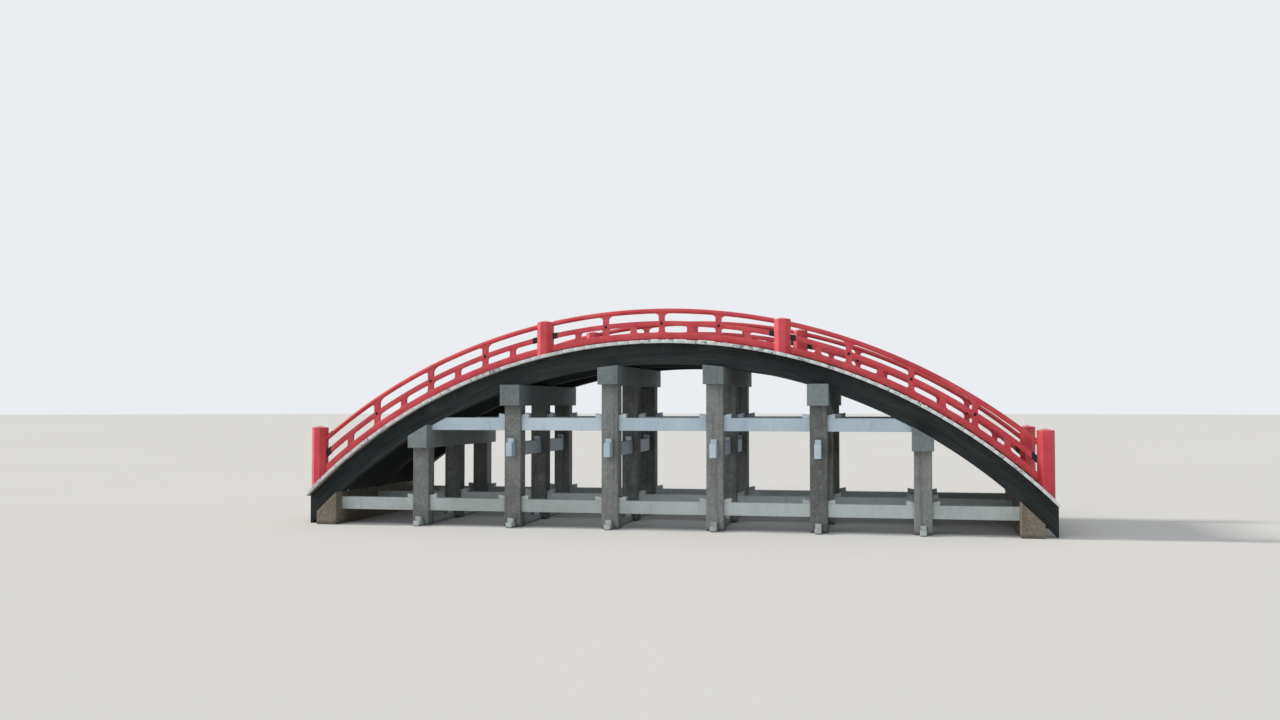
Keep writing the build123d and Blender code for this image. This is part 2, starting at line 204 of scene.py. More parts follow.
def bar_faces(bars: int, stations: int, around: int) -> Faces:
    """Faces of many closed bars whose points are numbered bar by bar, station by station, round the section.

    Args:
        bars: number of bars.
        stations: sections in a bar.
        around: points in a section, anticlockwise about the bar's direction.

    Returns:
        Quads of the sides, and one polygon for each end.
    """
    first = (np.arange(bars) * stations * around)[:, None, None]
    row = (np.arange(stations - 1) * around)[None, :, None]
    here = np.arange(around)[None, None, :]
    after = np.roll(here, -1, axis=2)
    base = first + row
    quads = np.stack([base + here, base + after, base + after + around, base + here + around], axis=-1)
    starts = first[:, 0] + np.arange(around)[None, ::-1]
    ends = first[:, 0] + (stations - 1) * around + np.arange(around)[None, :]
    return quads.reshape(-1, 4).tolist() + starts.tolist() + ends.tolist()


def domes(
    centres: Array,
    outward: Array,
    across: Triple,
    radius: float,
    height: float,
    sunk: float,
    wall: float = 0.0,
    rings: int = 5,
    around: int = 20,
) -> Array:
    """Low round heads, each a short wall under a quarter of an ellipse turned about its own axis.

    Point = centre + radius cos(rise) (cos(turn) across + sin(turn) beside) + height sin(rise) outward.

    Args:
        centres: array (heads, 3) of places on the surface below.
        outward: array (heads, 3) of unit directions, the axes of the heads.
        across: unit direction square to every axis.
        radius: of a head.
        height: of its middle over the surface.
        sunk: how far the wall goes into the surface.
        wall: height of the wall over the surface.
        rings: rings of points in the quarter ellipse.
        around: points in a ring.

    Returns:
        Array (heads, rings + 1, around, 3).
    """
    rise = np.linspace(0.0, np.pi / 2, rings + 1)[:-1]
    ring = np.concatenate([[radius], radius * np.cos(rise)])
    reach = np.concatenate([[-sunk], wall + (height - wall) * np.sin(rise)])
    turn = np.arange(around) * 2 * np.pi / around
    beside = np.cross(outward, across)
    flat = np.cos(turn)[None, :, None] * np.array(across) + np.sin(turn)[None, :, None] * beside[:, None, :]
    return (
        centres[:, None, None, :]
        + ring[None, :, None, None] * flat[:, None, :, :]
        + reach[None, :, None, None] * outward[:, None, None, :]
    )


@contextmanager
def opened(mesh: bpy.types.Mesh) -> Iterator[bmesh.types.BMesh]:
    """Open a mesh for work on its points and faces, and write them back at the end of the block.

    Args:
        mesh: to be changed.

    Yields:
        Its points and faces, open to change.
    """
    skin = bmesh.new()
    skin.from_mesh(mesh)
    yield skin
    skin.to_mesh(mesh)
    skin.free()


def put_in_scene(name: str, data: bpy.types.ID) -> bpy.types.Object:
    """Make an object at the origin from a mesh, a light or a camera.

    Args:
        name: of the object.
        data: what it shows.

    Returns:
        The object, linked to the scene.
    """
    thing = bpy.data.objects.new(name, data)
    bpy.context.scene.collection.objects.link(thing)
    return thing


def put_in_mesh(name: str, points: Array, faces: Faces) -> Piece:
    """Make a piece at the origin from whole arrays of points and faces.

    Args:
        name: of the piece and its mesh.
        points: array (..., 3), numbered in order.
        faces: lists of point numbers.

    Returns:
        The piece, with normals that point outwards.
    """
    mesh = bpy.data.meshes.new(name)
    mesh.from_pydata(points.reshape(-1, 3).tolist(), [], faces)
    with opened(mesh) as skin:
        bmesh.ops.recalc_face_normals(skin, faces=skin.faces)
    mesh.validate()
    return put_in_scene(name, mesh)


def places_of(mesh: bpy.types.Mesh) -> Array:
    """Read all the points of a mesh.

    Args:
        mesh: to be read.

    Returns:
        Array (points, 3) of their places.
    """
    flat = np.zeros(len(mesh.vertices) * 3, np.float32)
    mesh.vertices.foreach_get("co", flat)
    return flat.reshape(-1, 3).astype(float)


def write_pattern(piece: Piece, pattern: Pattern, values: Array) -> None:
    """Write what a finish reads at each point of a piece.

    Args:
        piece: with a mesh.
        pattern: name under which the finish reads it.
        values: array (points,), or (points, 3): for the grain, along the fibres, across them and through.
    """
    kind, key = ("FLOAT", "value") if values.ndim == 1 else ("FLOAT_VECTOR", "vector")
    layer = piece.data.attributes.new(pattern.value, kind, "POINT")
    layer.data.foreach_set(key, np.ascontiguousarray(values, np.float32).ravel())


def separate_parts(mesh: bpy.types.Mesh) -> Array:
    """Number the separate parts of a mesh.

    Every point starts with its own number, takes the lowest number among its edges' ends, and then
    that number's own number, until nothing changes.

    Args:
        mesh: of one or more closed parts.

    Returns:
        Array (points,) of numbers, equal for all points of one part.
    """
    ends = np.zeros(len(mesh.edges) * 2, np.int64)
    mesh.edges.foreach_get("vertices", ends)
    first, second = ends.reshape(-1, 2).T
    numbers = np.arange(len(mesh.vertices))
    while True:
        lowest = np.minimum(numbers[first], numbers[second])
        fresh = numbers.copy()
        np.minimum.at(fresh, first, lowest)
        np.minimum.at(fresh, second, lowest)
        fresh = fresh[fresh]
        if np.array_equal(fresh, numbers):
            return numbers
        numbers = fresh


def write_tone(piece: Piece) -> None:
    """Give each separate stone or timber of a piece its own tone, between minus one and one.

    Args:
        piece: whose name seeds the tones.
    """
    members = np.unique(separate_parts(piece.data), return_inverse=True)[1].ravel()
    chance = np.random.default_rng(sum(piece.name.encode()))
    tones = chance.uniform(-1.0, 1.0, members.max() + 1)
    write_pattern(piece, Pattern.TONE, tones[members])


def smooth_by_angle(piece: Piece, angle: float = CREASE_ANGLE) -> None:
    """Shade a piece smoothly, apart from edges that turn by more than this angle in degrees."""
    piece.data.shade_smooth()
    piece.data.set_sharp_from_angle(angle=radians(angle))


def level_top(points: Array, margin: float = 1e-4) -> Array:
    """Raise a stone's sloping top until it is level with its higher edge; its underside stays.

    A point rises by drop * (z - low) / (top - low): top is the height of the slope over the point, and
    drop is what the slope lacks there to the higher edge.

    Args:
        points: array (points, 3) of a stone whose top slopes along X.
        margin: how near an end face a point counts as on it.

    Returns:
        Array (points, 3) of the same stone with a level top.
    """
    x, z = points[:, 0], points[:, 2]
    low, high = points.min(axis=0), points.max(axis=0)
    rise = z[x > high[0] - margin].max() - z[x < low[0] + margin].max()
    uphill = high[0] if rise > 0 else low[0]
    drop = np.abs(rise / (high[0] - low[0]) * (uphill - x))
    raised = z + drop * (z - low[2]) / (high[2] - drop - low[2])
    return np.stack([x, points[:, 1], np.minimum(raised, high[2])], axis=1)


def eased_copy(
    node: str, name: str, easing: float, reshape: Callable[[Array], Array] | None = None
) -> Piece:
    """Copy a node with its triangles joined to flat faces and its arrises rounded.

    Args:
        node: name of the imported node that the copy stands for.
        name: of the new piece.
        easing: width of the rounded arris.
        reshape: moves the copied points before the rounding, if given.

    Returns:
        The new piece, its rounding already in the mesh, and the node replaced by it.
    """
    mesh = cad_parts[node].data.copy()
    mesh.name = name
    mesh.materials.clear()
    if reshape:
        mesh.vertices.foreach_set("co", reshape(places_of(mesh)).astype(np.float32).ravel())
    with opened(mesh) as skin:
        bmesh.ops.remove_doubles(skin, verts=skin.verts, dist=MERGE_DISTANCE)
        bmesh.ops.dissolve_limit(skin, angle_limit=radians(FLAT_ANGLE), verts=skin.verts, edges=skin.edges)
    piece = put_in_scene(name, mesh)
    rounding = piece.modifiers.new("eased_arris", "BEVEL")
    rounding.width = easing
    rounding.segments = ARRIS_SPANS
    rounding.limit_method = "ANGLE"
    rounding.angle_limit = radians(ARRIS_ANGLE)
    rounding.use_clamp_overlap = True
    levelling = piece.modifiers.new("level_faces", "WEIGHTED_NORMAL")
    levelling.keep_sharp = True
    smooth_by_angle(piece)
    graph = bpy.context.evaluated_depsgraph_get()
    finished = piece.evaluated_get(graph)
    piece.data = bpy.data.meshes.new_from_object(finished, preserve_all_data_layers=True, depsgraph=graph)
    piece.modifiers.clear()
    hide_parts(node)
    return piece


def rgb(red: float, green: float, blue: float) -> Colour:
    """Linear colour from display values between 0 and 255.

    The display curve is a straight line up to 0.04045 and a power of 2.4 above it.

    Args:
        red: display value.
        green: display value.
        blue: display value.

    Returns:
        The linear colour, opaque.
    """
    shown = np.array([red, green, blue]) / 255
    linear = np.where(shown <= 0.04045, shown / 12.92, ((shown + 0.055) / 1.055) ** 2.4)
    return (float(linear[0]), float(linear[1]), float(linear[2]), 1.0)


@dataclass(frozen=True)
class Noise:
    """A cloudy pattern: waves a metre, finer layers and their strength, and a further scale on each axis."""

    scale: float = 1.0
    layers: float = 4.0
    rough: float = 0.55
    stretch: Triple | None = None


class Nodes:
    """A tree of nodes, built from its sources towards its output."""

    def __init__(self, tree: bpy.types.NodeTree) -> None:
        """Work on this tree."""
        self.tree = tree

    def add(self, kind: str, **inputs: object) -> bpy.types.Node:
        """Add a node and set or join its inputs.

        Args:
            kind: type of the node.
            inputs: a value or another node's output for each named input; spaces as underscores.

        Returns:
            The new node.
        """
        node = self.tree.nodes.new(kind)
        for key, value in inputs.items():
            self.feed(node.inputs[key.replace("_", " ")], value)
        return node

    def feed(self, socket: Socket, value: object) -> None:
        """Join an output to an input, or set the input's own value.

        Args:
            socket: the input.
            value: an output, or a plain value.
        """
        if isinstance(value, bpy.types.NodeSocket):
            self.tree.links.new(value, socket)
        else:
            socket.default_value = value

    def sums(self, operation: str, first: object, second: object = 0.0) -> Socket:
        """One step of arithmetic.

        Args:
            operation: its name, in capitals.
            first: number or pattern.
            second: number or pattern.

        Returns:
            The result.
        """
        node = self.add("ShaderNodeMath")
        node.operation = operation
        self.feed(node.inputs[0], first)
        self.feed(node.inputs[1], second)
        return node.outputs["Value"]


class Shader(Nodes):
    """A material's nodes, built from the pattern coordinates towards one Principled surface."""

    bloom_roughness: float = 0.45
    bloom_tint: Colour = (1.0, 0.90, 0.88, 1.0)

    def __init__(self, name: str) -> None:
        """Start a material.

        Args:
            name: of the material.
        """
        self.material = bpy.data.materials.new(name)
        self.material.use_nodes = True
        super().__init__(self.material.node_tree)
        self.surface = self.tree.nodes["Principled BSDF"]

    def place(self) -> Socket:
        """The place on the object, in metres."""
        return self.add("ShaderNodeTexCoord").outputs["Object"]

    def carried(self, pattern: Pattern, output: str) -> Socket:
        """What the piece carries for its finish.

        Args:
            pattern: name of the attribute.
            output: Vector for three numbers, Fac for one.

        Returns:
            The attribute.
        """
        node = self.add("ShaderNodeAttribute")
        node.attribute_name = pattern.value
        return node.outputs[output]

    def along_grain(self) -> Socket:
        """The piece's own coordinates that follow its fibres."""
        return self.carried(Pattern.GRAIN, "Vector")

    def own_tone(self, reach: float) -> Socket:
        """Each stone's or timber's own tone, from minus reach to plus reach."""
        return self.share(self.carried(Pattern.TONE, "Fac"), reach)

    def axis(self, coords: Socket, name: str) -> Socket:
        """One of the coordinates X, Y or Z."""
        return self.add("ShaderNodeSeparateXYZ", Vector=coords).outputs[name]

    def upward(self) -> Socket:
        """How far the surface faces up: one on top, minus one below."""
        return self.axis(self.add("ShaderNodeNewGeometry").outputs["Normal"], "Z")

    def noise(self, coords: Socket, form: Noise) -> Socket:
        """A cloudy pattern.

        Args:
            coords: that it follows.
            form: its scale and grain.

        Returns:
            The pattern, between zero and one.
        """
        if form.stretch:
            coords = self.add("ShaderNodeMapping", Vector=coords, Scale=form.stretch).outputs["Vector"]
        node = self.add("ShaderNodeTexNoise", Vector=coords, Scale=form.scale)
        self.feed(node.inputs["Detail"], form.layers)
        self.feed(node.inputs["Roughness"], form.rough)
        return node.outputs["Fac"]

    def cells(self, coords: Socket, scale: float) -> Socket:
        """A random tone for each crystal of a cell pattern."""
        node = self.add("ShaderNodeTexVoronoi", Vector=coords, Scale=scale)
        return self.add("ShaderNodeSeparateColor", Color=node.outputs["Color"]).outputs["Red"]

    def band(self, value: Socket, low: float, high: float) -> Socket:
        """Pass a pattern through a band.

        Args:
            value: the pattern.
            low: where the result is zero.
            high: where the result is one; it may be the lower of the two.

        Returns:
            Zero before the band, one past it, and smooth between.
        """
        rising = high >= low
        node = self.add(
            "ShaderNodeMapRange", Value=value, From_Min=min(low, high), From_Max=max(low, high),
            To_Min=0.0 if rising else 1.0, To_Max=1.0 if rising else 0.0,
        )
        node.interpolation_type = "SMOOTHSTEP"
        return node.outputs["Result"]

    def share(self, value: object, part: float) -> Socket:
        """A pattern times a number."""
        return self.sums("MULTIPLY", value, part)

    def centred(self, value: Socket) -> Socket:
        """A pattern moved down by a half, so that it swings about zero."""
        return self.sums("SUBTRACT", value, 0.5)

    def toned(self, patterns: tuple[Socket, ...], weights: tuple[float, ...], own_reach: float) -> Socket:
        """A weighted sum of patterns, moved by each stone's or timber's own tone.

        Args:
            patterns: to be added up.
            weights: one for each pattern.
            own_reach: how far a stone's own tone moves it.

        Returns:
            The sum.
        """
        total = self.share(patterns[0], weights[0])
        for pattern, weight in zip(patterns[1:], weights[1:]):
            total = self.sums("ADD", total, self.share(pattern, weight))
        return self.sums("ADD", total, self.own_tone(own_reach))

    def blend(self, share: object, first: object, second: object) -> Socket:
        """Mix two colours.

        Args:
            share: number or pattern between zero and one.
            first: the colour where the share is zero.
            second: the colour where it is one.

        Returns:
            The mixed colour.
        """
        node = self.add("ShaderNodeMix")
        node.data_type = "RGBA"
        for socket, value in zip(COLOUR_MIX_INPUTS, (share, first, second)):
            self.feed(node.inputs[socket], value)
        return node.outputs[COLOUR_MIX_OUTPUT]

    def stain(self, colour: object, mask: Socket, share: float, tint: object) -> Socket:
        """Lay a tint over a colour, as strong as a share of its mask."""
        return self.blend(self.share(mask, share), colour, tint)

    def relief(self, height: Socket, depth: float, under: Socket | None = None) -> Socket:
        """Bump of a real depth in metres.

        Args:
            height: pattern of the bump.
            depth: between its zero and its one.
            under: another bump that this one lies on.

        Returns:
            The bent normal.
        """
        node = self.add("ShaderNodeBump", Height=height, Distance=depth, Strength=1.0)
        if under is not None:
            self.feed(node.inputs["Normal"], under)
        return node.outputs["Normal"]

    def finish(
        self,
        colour: object,
        roughness: object,
        normal: Socket,
        metallic: float = 0.0,
        specular: float = 0.5,
        chalk: float = 0.0,
    ) -> Material:
        """Join the patterns to the surface.

        Args:
            colour: colour or pattern of the surface.
            roughness: number or pattern.
            normal: the bump.
            metallic: zero, or one for bare metal.
            specular: strength of the gloss, a half for most things.
            chalk: strength of the pale bloom that shows at low angles.

        Returns:
            The finished material.
        """
        for socket, value in {
            "Base Color": colour,
            "Roughness": roughness,
            "Normal": normal,
            "Metallic": metallic,
            "Specular IOR Level": specular,
            "Sheen Weight": chalk,
            "Sheen Roughness": self.bloom_roughness,
            "Sheen Tint": self.bloom_tint,
        }.items():
            self.feed(self.surface.inputs[socket], value)
        return self.material


@dataclass(frozen=True)
class Weather:
    """What rain and pond leave on a stone: moss where it faces up, and a dark line along the water."""

    moss: Colour
    moss_share: float
    moss_band: Span
    level_band: Span
    wet: Colour
    wet_share: float
    wet_wander: float
    wet_band: Span

    def lay(
        self, shader: Shader, place: Socket, colour: Socket, moss_pattern: Socket, wet_pattern: Socket
    ) -> tuple[Socket, Socket]:
        """Lay the moss and then the wet line over a stone.

        Args:
            shader: the stone's nodes.
            place: the place on the object.
            colour: of the stone so far.
            moss_pattern: that the moss follows.
            wet_pattern: that the wet line wanders with.

        Returns:
            The colour, and how wet the stone is.
        """
        level = shader.share(shader.band(shader.upward(), *self.level_band), self.moss_share)
        moss = shader.sums("MULTIPLY", level, shader.band(moss_pattern, *self.moss_band))
        colour = shader.blend(moss, colour, self.moss)
        wander = shader.share(shader.centred(wet_pattern), self.wet_wander)
        wet = shader.band(shader.sums("ADD", shader.axis(place, "Z"), wander), *self.wet_band)
        return shader.stain(colour, wet, self.wet_share, self.wet), wet


@dataclass(frozen=True)
class Granite:
    """Dressed granite: crystals, mottling, pale flecks, faint rain runs, lichen, moss and a wet line."""

    name: str
    light: Colour
    dark: Colour
    lichen: Colour
    runs_share: float = 0.42
    fleck_share: float = 0.55
    pit_depth: float = 0.0030
    clouds: Noise = Noise(0.8, 4.0, 0.60)
    mottling: Noise = Noise(11.0, 5.0, 0.72)
    crystals: float = 120.0
    crystal_depth: float = 0.2
    tone_weights: Triple = (0.34, 0.40, 0.26)
    tone_band: Span = (0.32, 0.70)
    own_reach: float = 0.10
    flecks: Noise = Noise(23.0, 4.0, 0.75)
    fleck_band: Span = (0.60, 0.68)
    fleck: Colour = rgb(182, 186, 180)
    runs: Noise = Noise(1.0, 5.0, 0.65, (6.5, 6.5, 0.30))
    run_band: Span = (0.50, 0.72)
    run: Colour = rgb(50, 51, 49)
    patches: Noise = Noise(3.1, 6.0, 0.68)
    lichen_band: Span = (0.55, 0.66)
    lichen_share: float = 0.30
    weather: Weather = Weather(
        moss=rgb(66, 74, 48), moss_share=0.60, moss_band=(0.36, 0.60), level_band=(0.50, 0.95),
        wet=rgb(44, 45, 36), wet_share=0.62, wet_wander=0.10, wet_band=(0.12, 0.03),
    )
    dry_roughness: float = 0.88
    wet_gloss: float = 0.40
    specular: float = 0.30

    def material(self) -> Material:
        """Build the stone.

        Returns:
            The material, patterned by the place on the object and by each stone's own tone.
        """
        shader = Shader(self.name)
        place = shader.place()
        clouds = shader.noise(place, self.clouds)
        mottling = shader.noise(place, self.mottling)
        crystals = shader.cells(place, self.crystals)
        tone = shader.toned((clouds, mottling, crystals), self.tone_weights, self.own_reach)
        colour = shader.blend(shader.band(tone, *self.tone_band), self.dark, self.light)
        flecks = shader.band(shader.noise(place, self.flecks), *self.fleck_band)
        colour = shader.stain(colour, flecks, self.fleck_share, self.fleck)
        runs = shader.band(shader.noise(place, self.runs), *self.run_band)
        colour = shader.stain(colour, runs, self.runs_share, self.run)
        patches = shader.noise(place, self.patches)
        colour = shader.stain(colour, shader.band(patches, *self.lichen_band), self.lichen_share, self.lichen)
        colour, wet = self.weather.lay(shader, place, colour, mottling, patches)
        roughness = shader.sums("SUBTRACT", self.dry_roughness, shader.share(wet, self.wet_gloss))
        pits = shader.relief(mottling, self.pit_depth)
        normal = shader.relief(crystals, self.pit_depth * self.crystal_depth, pits)
        return shader.finish(colour, roughness, normal, specular=self.specular)


@dataclass(frozen=True)
class PaleStone:
    """Smooth pale stone of the ties: a soft bloom, faint drips, a duller tone near the water, dirt on top."""

    name: str
    light: Colour
    dark: Colour
    stained_light: Colour
    stained_dark: Colour
    stained_band: Span = (1.6, 1.2)
    clouds: Noise = Noise(0.6, 4.0, 0.55)
    bloom: Noise = Noise(4.0, 5.0, 0.65)
    speckle: Noise = Noise(120.0, 3.0, 0.60)
    speckle_depth: float = 0.0012
    tone_weights: Triple = (0.50, 0.30, 0.20)
    tone_band: Span = (0.28, 0.72)
    own_reach: float = 0.10
    drips: Noise = Noise(1.0, 5.0, 0.60, (9.0, 9.0, 0.9))
    drip_band: Span = (0.54, 0.74)
    drip_share: float = 0.24
    drip: Colour = rgb(96, 102, 102)
    weather: Weather = Weather(
        moss=rgb(84, 90, 68), moss_share=0.26, moss_band=(0.40, 0.62), level_band=(0.55, 0.95),
        wet=rgb(62, 64, 52), wet_share=0.75, wet_wander=0.05, wet_band=(0.045, 0.015),
    )
    roughness: float = 0.46
    cloud_roughness: float = 0.24
    saw_marks: Noise = Noise(1.0, 3.0, 0.50, (1.2, 1.2, 60.0))
    saw_depth: float = 0.0006
    specular: float = 0.45

    def material(self) -> Material:
        """Build the stone.

        Returns:
            The material, patterned by the place on the object and by each stone's own tone.
        """
        shader = Shader(self.name)
        place = shader.place()
        clouds = shader.noise(place, self.clouds)
        bloom = shader.noise(place, self.bloom)
        speckle = shader.noise(place, self.speckle)
        tone = shader.toned((clouds, bloom, speckle), self.tone_weights, self.own_reach)
        mix = shader.band(tone, *self.tone_band)
        clean = shader.blend(mix, self.dark, self.light)
        stained = shader.blend(mix, self.stained_dark, self.stained_light)
        low = shader.band(shader.axis(place, "Z"), *self.stained_band)
        colour = shader.blend(low, clean, stained)
        drips = shader.band(shader.noise(place, self.drips), *self.drip_band)
        colour = shader.stain(colour, drips, self.drip_share, self.drip)
        colour = self.weather.lay(shader, place, colour, bloom, bloom)[0]
        roughness = shader.sums("ADD", self.roughness, shader.share(clouds, self.cloud_roughness))
        sawn = shader.relief(shader.noise(place, self.saw_marks), self.saw_depth)
        normal = shader.relief(speckle, self.speckle_depth, sawn)
        return shader.finish(colour, roughness, normal, specular=self.specular)


@dataclass(frozen=True)
class PaintedTimber:
    """Red paint on timber: fibres that telegraph through, faded tops lightened further by painted light from
    above, grime in the grain and small wear.
    """

    name: str
    paint: Colour
    # Paler paint: real fading where the clouds fall, and on the tops also painted light from above.
    faded_paint_and_top_light: Colour
    grime: Colour
    bare: Colour = rgb(118, 84, 70)
    fibres: Noise = Noise(1.0, 5.0, 0.62, (1.6, 34.0, 34.0))
    clouds: Noise = Noise(1.3, 5.0, 0.65)
    cloud_band: Span = (0.34, 0.72)
    level_band: Span = (0.20, 0.90)
    top_fade_and_painted_light_share: float = 0.55
    grime_band: Span = (0.56, 0.74)
    grime_share: float = 0.50
    chips: Noise = Noise(34.0, 4.0, 0.72)
    chip_band: Span = (0.70, 0.74)
    chip_share: float = 0.55
    chip_depth: float = 0.5
    film_depth: float = 0.0020
    roughness: float = 0.34
    fibre_roughness: float = 0.22
    specular: float = 0.60
    chalk: float = 0.30

    def material(self) -> Material:
        """Build the paint.

        Returns:
            The material, patterned along the piece's fibres.
        """
        shader = Shader(self.name)
        place = shader.place()
        fibres = shader.noise(shader.along_grain(), self.fibres)
        clouds = shader.noise(place, self.clouds)
        colour = shader.blend(shader.band(clouds, *self.cloud_band), self.paint, self.faded_paint_and_top_light)
        # Faces turned up take the paler colour: partly real sun fading, partly painted light from above.
        level = shader.band(shader.upward(), *self.level_band)
        colour = shader.stain(colour, level, self.top_fade_and_painted_light_share, self.faded_paint_and_top_light)
        colour = shader.stain(colour, shader.band(fibres, *self.grime_band), self.grime_share, self.grime)
        chips = shader.band(shader.noise(place, self.chips), *self.chip_band)
        colour = shader.stain(colour, chips, self.chip_share, self.bare)
        roughness = shader.sums("ADD", self.roughness, shader.share(fibres, self.fibre_roughness))
        film = shader.sums("SUBTRACT", fibres, shader.share(chips, self.chip_depth))
        normal = shader.relief(film, self.film_depth)
        return shader.finish(colour, roughness, normal, specular=self.specular, chalk=self.chalk)


@dataclass(frozen=True)
class RawTimber:
    """Bare timber: long fibres, darker late wood, drying cracks, and ends that may weather white."""

    name: str
    light: Colour
    dark: Colour
    crack: Colour
    crack_share: float = 0.8
    roughness: float = 0.72
    specular: float = 0.35
    whitened_from: float | None = None
    whitened: Colour = rgb(214, 219, 220)
    whitened_dirt: Colour = rgb(128, 134, 134)
    whitened_share: float = 0.92
    whitened_fade: float = 0.02
    ragged: Noise = Noise(21.0, 4.0, 0.70)
    ragged_reach: float = 0.07
    dirt: Noise = Noise(7.0, 5.0, 0.72)
    dirt_reach: float = 0.11
    dirt_band: Span = (0.52, 0.70)
    fibres: Noise = Noise(1.0, 6.0, 0.62, (1.6, 34.0, 34.0))
    fibre_depth: float = 0.003
    fibre_roughness: float = 0.12
    rings: Noise = Noise(1.0, 3.0, 0.50, (0.25, 3.6, 3.6))
    tone_weights: Span = (0.6, 0.4)
    tone_band: Span = (0.30, 0.68)
    own_reach: float = 0.12
    cracks: Noise = Noise(1.0, 3.0, 0.50, (0.9, 60.0, 60.0))
    crack_band: Span = (0.66, 0.70)
    crack_depth: float = 0.9

    def material(self) -> Material:
        """Build the timber.

        Returns:
            The material, patterned along the piece's fibres and by each timber's own tone.
        """
        shader = Shader(self.name)
        grain = shader.along_grain()
        fibres = shader.noise(grain, self.fibres)
        tone = shader.toned((fibres, shader.noise(grain, self.rings)), self.tone_weights, self.own_reach)
        colour = shader.blend(shader.band(tone, *self.tone_band), self.dark, self.light)
        cracks = shader.band(shader.noise(grain, self.cracks), *self.crack_band)
        colour = shader.stain(colour, cracks, self.crack_share, self.crack)
        if self.whitened_from is not None:
            colour = self.whiten(shader, colour, self.whitened_from)
        height = shader.sums("SUBTRACT", fibres, shader.share(cracks, self.crack_depth))
        roughness = shader.sums("ADD", self.roughness, shader.share(fibres, self.fibre_roughness))
        normal = shader.relief(height, self.fibre_depth)
        return shader.finish(colour, roughness, normal, specular=self.specular)

    def whiten(self, shader: Shader, colour: Socket, start: float) -> Socket:
        """Whiten the ends of boards that lie across the bridge, with a ragged edge and dirt in it.

        Args:
            shader: the timber's nodes.
            colour: of the timber so far.
            start: distance from the middle of the bridge at which the white starts.

        Returns:
            The colour with white ends.
        """
        place = shader.place()
        reach = shader.sums("ABSOLUTE", shader.axis(place, "Y"))
        worn = shader.sums("ADD", reach, shader.share(shader.noise(place, self.ragged), self.ragged_reach))
        edge = shader.band(worn, start, start + self.whitened_fade)
        dirt = shader.sums("ADD", shader.noise(place, self.dirt), shader.own_tone(self.dirt_reach))
        white = shader.blend(shader.band(dirt, *self.dirt_band), self.whitened, self.whitened_dirt)
        return shader.stain(colour, edge, self.whitened_share, white)


@dataclass(frozen=True)
class BlackMetal:
    """Lacquered metal of the rail sleeves, studs and nails, worn in places."""

    name: str
    lacquer: Colour
    worn: Colour
    wear: Noise = Noise(26.0, 5.0, 0.70)
    wear_band: Span = (0.56, 0.70)
    wear_share: float = 0.5
    hammering: Noise = Noise(60.0, 3.0, 0.50)
    hammer_depth: float = 0.0008
    roughness: float = 0.30
    wear_roughness: float = 0.30
    metallic: float = 0.6

    def material(self) -> Material:
        """Build the metal.

        Returns:
            The material, patterned by the place on the object.
        """
        shader = Shader(self.name)
        place = shader.place()
        wear = shader.noise(place, self.wear)
        colour = shader.stain(self.lacquer, shader.band(wear, *self.wear_band), self.wear_share, self.worn)
        roughness = shader.sums("ADD", self.roughness, shader.share(wear, self.wear_roughness))
        hammered = shader.relief(shader.noise(place, self.hammering), self.hammer_depth)
        return shader.finish(colour, roughness, hammered, metallic=self.metallic)


@dataclass(frozen=True)
class PaleFloor:
    """A matt pale floor with the faintest clouds."""

    name: str = "pale_floor"
    tones: tuple[Colour, Colour] = (rgb(226, 226, 223), rgb(230, 230, 228))
    clouds: Noise = Noise(0.05, 2.0, 0.50)
    grit: Noise = Noise(3.0)
    grit_depth: float = 0.0005
    roughness: float = 0.95

    def material(self) -> Material:
        """Build the floor's surface.

        Returns:
            The material, patterned by the place on the floor.
        """
        shader = Shader(self.name)
        place = shader.place()
        colour = shader.blend(shader.noise(place, self.clouds), *self.tones)
        normal = shader.relief(shader.noise(place, self.grit), self.grit_depth)
        return shader.finish(colour, self.roughness, normal, specular=0.0)


@dataclass(frozen=True)
class Finish:
    """A material, and the slot in the record that it stands for."""

    slot: str
    material: Material


